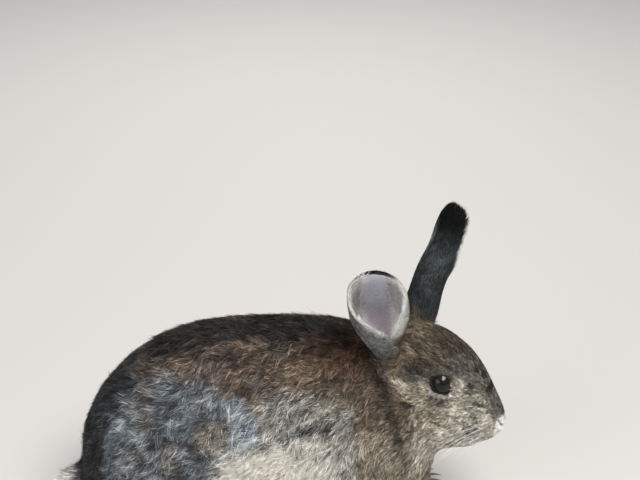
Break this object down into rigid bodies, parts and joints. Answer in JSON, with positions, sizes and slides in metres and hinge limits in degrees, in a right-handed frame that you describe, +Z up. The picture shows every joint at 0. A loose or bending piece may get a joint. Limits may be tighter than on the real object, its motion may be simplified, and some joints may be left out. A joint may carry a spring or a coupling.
{
  "type": "domestic rabbit display model",
  "caption": "Life-size still model of an agouti rabbit resting in a crouch, ears raised, head turned to its right.",
  "frame": {"origin": "middle of the footprint's box, on the floor under the soles", "axes": "+X towards the rabbit's head, +Y towards its own left, +Z up"},
  "size_m": [0.3098, 0.1236, 0.2187],
  "materials": {
    "agouti_coat": "soft agouti fur, brown ticked with black",
    "haunch_coat": "soft blue-grey fur with pale tips",
    "face_coat": "short brown ticked fur",
    "ear_coat": "very short black and grey fur, lilac-pink skin inside",
    "pale_coat": "soft cream fur",
    "eye": "wet gloss, dark brown",
    "claw": "satin horn"
  },
  "bodies": {
    "root": {"ear_left": "ear_coat", "ear_right": "ear_coat", "eye_left": "eye", "eye_right": "eye", "fore_claw_left_1": "claw", "fore_claw_left_2": "claw", "fore_claw_left_3": "claw", "fore_claw_left_4": "claw", "fore_claw_right_1": "claw", "fore_claw_right_2": "claw", "fore_claw_right_3": "claw", "fore_claw_right_4": "claw", "forefoot_left": "pale_coat", "forefoot_right": "pale_coat", "foreleg_left": "agouti_coat", "foreleg_right": "agouti_coat", "head": "face_coat", "hind_claw_left_1": "claw", "hind_claw_left_2": "claw", "hind_claw_left_3": "claw", "hind_claw_left_4": "claw", "hind_claw_right_1": "claw", "hind_claw_right_2": "claw", "hind_claw_right_3": "claw", "hind_claw_right_4": "claw", "hindfoot_left": "pale_coat", "hindfoot_right": "pale_coat", "hindleg_left": "haunch_coat", "hindleg_right": "haunch_coat", "neck": "agouti_coat", "tail": "pale_coat", "trunk": "agouti_coat"}
  },
  "joints": []
}
